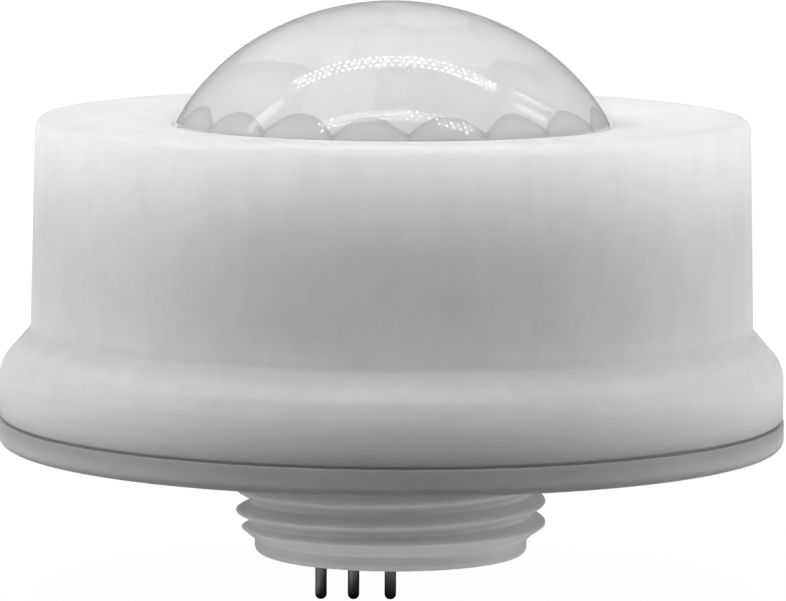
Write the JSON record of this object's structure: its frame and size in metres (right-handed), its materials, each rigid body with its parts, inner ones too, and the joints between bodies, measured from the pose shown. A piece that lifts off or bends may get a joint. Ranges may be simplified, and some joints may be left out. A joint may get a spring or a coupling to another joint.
{
  "type": "presence sensor",
  "caption": "Round plug-in presence sensor for a lamp: white flanged housing, milky domed lens, round plate and threaded neck with contact pins.",
  "frame": {"origin": "centre of the plate's underside, on the neck's axis", "axes": "+Z along the neck's axis towards the lens, +X to the right with the row of contact pins along X and their offset to -X, +Y away from the picture's viewer"},
  "size_m": [0.084, 0.084, 0.0644],
  "materials": {
    "housing_white": "satin moulded",
    "base_white": "satin moulded",
    "lens_milky": "translucent, smooth",
    "seal_rubber": "matte",
    "screw_steel": "zinc plated",
    "carrier_plastic": "matte moulded",
    "pin_metal": "tin plated",
    "lead_tin": "tin plated",
    "wire_red": "insulation",
    "wire_blue": "insulation",
    "wire_black": "insulation",
    "retainer_black": "matte moulded",
    "board_green": "solder mask",
    "component_black": "matte moulded",
    "capacitor_can": "bare can",
    "choke_ferrite": "sintered ferrite",
    "choke_copper": "enamelled copper wire",
    "detector_metal": "nickel plated",
    "filter_dark": "coated",
    "epoxy_clear": "clear",
    "epoxy_dark": "dark tinted",
    "epoxy_red": "tinted"
  },
  "bodies": {
    "root": {"base": "base_white", "base_gasket": "seal_rubber", "base_screws": "screw_steel", "housing": "housing_white", "lens": "lens_milky", "lens_gasket": "seal_rubber", "lens_retainer": "retainer_black", "retainer_screws": "screw_steel", "pin_carrier": "carrier_plastic", "main_board": "board_green", "main_board_screws": "screw_steel", "choke_core": "choke_ferrite", "choke_winding": "choke_copper", "regulator": "component_black", "controller_chip": "component_black", "controller_leads": "lead_tin", "link_header": "component_black", "link_pins": "lead_tin", "link_socket": "component_black", "sensor_board": "board_green", "sensor_board_screws": "screw_steel", "detector_spacer": "component_black", "detector_can": "detector_metal", "detector_filter": "filter_dark", "detector_leads": "lead_tin", "light_sensor": "epoxy_clear", "status_lamp": "epoxy_red", "remote_receiver": "epoxy_dark", "amplifier_chip": "component_black", "amplifier_leads": "lead_tin", "contact_pin_1": "pin_metal", "contact_pin_2": "pin_metal", "contact_pin_3": "pin_metal", "lead_wire_1": "wire_red", "lead_wire_2": "wire_blue", "lead_wire_3": "wire_black", "capacitor_1": "capacitor_can", "capacitor_2": "capacitor_can"}
  },
  "joints": []
}
